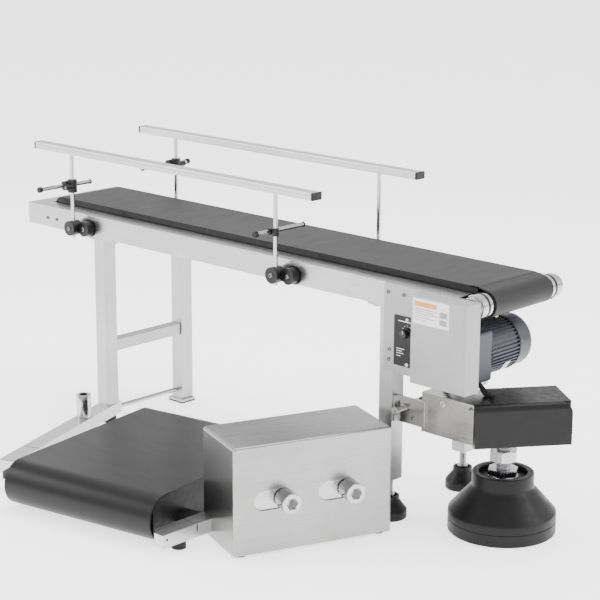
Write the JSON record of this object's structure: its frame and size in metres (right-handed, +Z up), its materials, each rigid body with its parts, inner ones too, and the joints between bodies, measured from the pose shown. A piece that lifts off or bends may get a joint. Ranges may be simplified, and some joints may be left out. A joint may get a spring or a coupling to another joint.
{
  "type": "belt conveyor section",
  "caption": "Small belt conveyor with side rails, an end drive under a cover, a base channel on a levelling foot, and a low cross-feed belt with an adjuster box.",
  "frame": {"origin": "floor point under the far left leg, at the centre of its square tube", "axes": "+X along the belt from the tail roller to the drive drum, +Y across the belt away from the drive cover, +Z up"},
  "size_m": [1.6184, 0.9439, 0.7195],
  "materials": {
    "frame_steel": "satin",
    "leg_steel": "satin",
    "bed": "matte",
    "belt": "satin",
    "low_belt": "matte",
    "bearing_metal": "polished",
    "chrome_rod": "polished",
    "bolt_steel": "polished",
    "screw_steel": "satin",
    "clamp_plastic": "satin",
    "plate_steel": "satin",
    "cover_steel": "satin",
    "panel_black": "satin",
    "controller_plastic": "matte",
    "knob_plastic": "satin",
    "switch_plastic": "gloss",
    "gearbox_paint": "painted",
    "motor_paint": "painted",
    "fan_cover_paint": "satin",
    "gland_brass": "satin",
    "strut_paint": "satin",
    "drive_belt_rubber": "matte",
    "channel_steel": "brushed",
    "bracket_steel": "brushed",
    "end_cap_plastic": "satin",
    "floor_bar_steel": "satin",
    "clamp_screw_chrome": "polished",
    "bed_frame_paint": "matte",
    "box_steel": "brushed",
    "pad_rubber": "matte",
    "drum_rubber": "satin",
    "roller_steel": "satin",
    "shaft_steel": "ground",
    "fan_plastic": "matte",
    "rail_aluminium": "anodised",
    "rail_cap_plastic": "satin",
    "post_steel": "polished",
    "foot_plastic": "matte",
    "big_foot_plastic": "satin",
    "low_roller_plastic": "matte",
    "take_up_steel": "satin"
  },
  "bodies": {
    "frame": {"near_side_frame": "frame_steel", "far_side_frame": "frame_steel", "tail_bracket": "frame_steel", "cross_members": "frame_steel", "near_left_leg": "leg_steel", "far_left_leg": "leg_steel", "near_right_leg": "leg_steel", "far_right_leg": "leg_steel", "leg_crossbars": "leg_steel", "slider_bed": "bed", "conveyor_belt": "belt", "low_belt": "low_belt", "drum_bearing_housings": "bearing_metal", "tie_rods": "chrome_rod", "hex_fasteners": "bolt_steel", "pan_head_screws": "screw_steel", "knuckle_clamps": "clamp_plastic", "control_plate": "plate_steel", "drive_cover": "cover_steel", "control_panel": "panel_black", "controller_body": "controller_plastic", "gearbox": "gearbox_paint", "motor_body": "motor_paint", "fan_cover": "fan_cover_paint", "cable_gland": "gland_brass", "motor_struts": "strut_paint", "drive_belt": "drive_belt_rubber", "arm_channel": "channel_steel", "arm_brackets": "bracket_steel", "arm_end_cap": "end_cap_plastic", "left_base_bar": "floor_bar_steel", "right_base_bar": "floor_bar_steel", "bar_clamp_screw": "clamp_screw_chrome", "low_bed_frame": "bed_frame_paint", "adjuster_box": "box_steel", "rubber_pads": "pad_rubber"},
    "drum": {"drive_drum": "drum_rubber"},
    "tail_drum": {"tail_roller": "roller_steel"},
    "gear_output": {"gear_output_shaft": "shaft_steel"},
    "motor_rotor": {"cooling_fan": "fan_plastic"},
    "near_rail": {"near_rail_bar": "rail_aluminium", "near_rail_caps": "rail_cap_plastic", "near_rail_posts": "post_steel", "near_cross_clamps": "clamp_plastic"},
    "far_rail": {"far_rail_bar": "rail_aluminium", "far_rail_caps": "rail_cap_plastic", "far_rail_posts": "post_steel", "far_cross_clamp": "clamp_plastic"},
    "near_left_cross_rod": {"near_left_rod": "post_steel"},
    "near_right_cross_rod": {"near_right_rod": "post_steel"},
    "far_left_cross_rod": {"far_left_rod": "post_steel"},
    "speed_dial": {"speed_knob": "knob_plastic"},
    "power_rocker": {"power_switch": "switch_plastic"},
    "near_foot": {"near_right_foot": "foot_plastic"},
    "far_foot": {"far_right_foot": "foot_plastic"},
    "large_foot": {"big_foot": "big_foot_plastic"},
    "low_front": {"low_front_roller": "low_roller_plastic"},
    "low_rear": {"low_rear_roller": "low_roller_plastic"},
    "left_take_up": {"take_up_left": "take_up_steel"},
    "right_take_up": {"take_up_right": "take_up_steel"}
  },
  "joints": [
    {"name": "drum_spin", "type": "hinge", "parent": "frame", "child": "drum", "pos_m": [1.192, -0.131, 0.527], "axis": [0, 1, 0], "continuous": true},
    {"name": "tail_roller_spin", "type": "hinge", "parent": "frame", "child": "tail_drum", "pos_m": [-0.205, -0.131, 0.533], "axis": [0, 1, 0], "continuous": true},
    {"name": "gear_output_spin", "type": "hinge", "parent": "frame", "child": "gear_output", "pos_m": [1.119, -0.281, 0.402], "axis": [0, 1, 0], "continuous": true},
    {"name": "motor_rotor_spin", "type": "hinge", "parent": "frame", "child": "motor_rotor", "pos_m": [1.119, -0.131, 0.402], "axis": [0, 1, 0], "continuous": true},
    {"name": "near_rail_height", "type": "slide", "parent": "frame", "child": "near_rail", "axis": [0, 0, 1], "range_m": [-0.035, 0.02]},
    {"name": "far_rail_height", "type": "slide", "parent": "frame", "child": "far_rail", "axis": [0, 0, 1], "range_m": [-0.035, 0.02]},
    {"name": "near_left_rod_slide", "type": "slide", "parent": "near_rail", "child": "near_left_cross_rod", "axis": [0, 1, 0], "range_m": [-0.035, 0.06]},
    {"name": "near_right_rod_slide", "type": "slide", "parent": "near_rail", "child": "near_right_cross_rod", "axis": [0, 1, 0], "range_m": [-0.07, 0.02]},
    {"name": "far_left_rod_slide", "type": "slide", "parent": "far_rail", "child": "far_left_cross_rod", "axis": [0, 1, 0], "range_m": [-0.025, 0.07]},
    {"name": "speed_knob_turn", "type": "hinge", "parent": "frame", "child": "speed_dial", "pos_m": [1.027, -0.291, 0.443], "axis": [0, 1, 0], "range_deg": [-140, 140]},
    {"name": "power_rocker_tilt", "type": "hinge", "parent": "frame", "child": "power_rocker", "pos_m": [1.045, -0.285, 0.394], "axis": [1, 0, 0], "range_deg": [0, 14]},
    {"name": "near_foot_level", "type": "slide", "parent": "frame", "child": "near_foot", "axis": [0, 0, 1], "range_m": [0, 0.02]},
    {"name": "far_foot_level", "type": "slide", "parent": "frame", "child": "far_foot", "axis": [0, 0, 1], "range_m": [0, 0.02]},
    {"name": "large_foot_level", "type": "slide", "parent": "frame", "child": "large_foot", "axis": [0, 0, 1], "range_m": [0, 0.015]},
    {"name": "low_front_spin", "type": "hinge", "parent": "frame", "child": "low_front", "pos_m": [0.50493, -0.75306, 0.056], "axis": [0.9848, 0.1736, 0], "continuous": true},
    {"name": "low_rear_spin", "type": "hinge", "parent": "frame", "child": "low_rear", "pos_m": [0.42749, -0.31384, 0.056], "axis": [0.9848, 0.1736, 0], "continuous": true},
    {"name": "left_take_up_slide", "type": "slide", "parent": "frame", "child": "left_take_up", "axis": [0.3665, 0.9304, 0], "range_m": [-0.03, 0]},
    {"name": "right_take_up_slide", "type": "slide", "parent": "frame", "child": "right_take_up", "axis": [0.3665, 0.9304, 0], "range_m": [-0.03, 0]}
  ],
  "couplings": [
    {"joint": "tail_roller_spin", "follows": "drum_spin", "ratio": 1.0755},
    {"joint": "gear_output_spin", "follows": "drum_spin", "ratio": 1},
    {"joint": "motor_rotor_spin", "follows": "drum_spin", "ratio": 12},
    {"joint": "low_rear_spin", "follows": "low_front_spin", "ratio": 1}
  ]
}
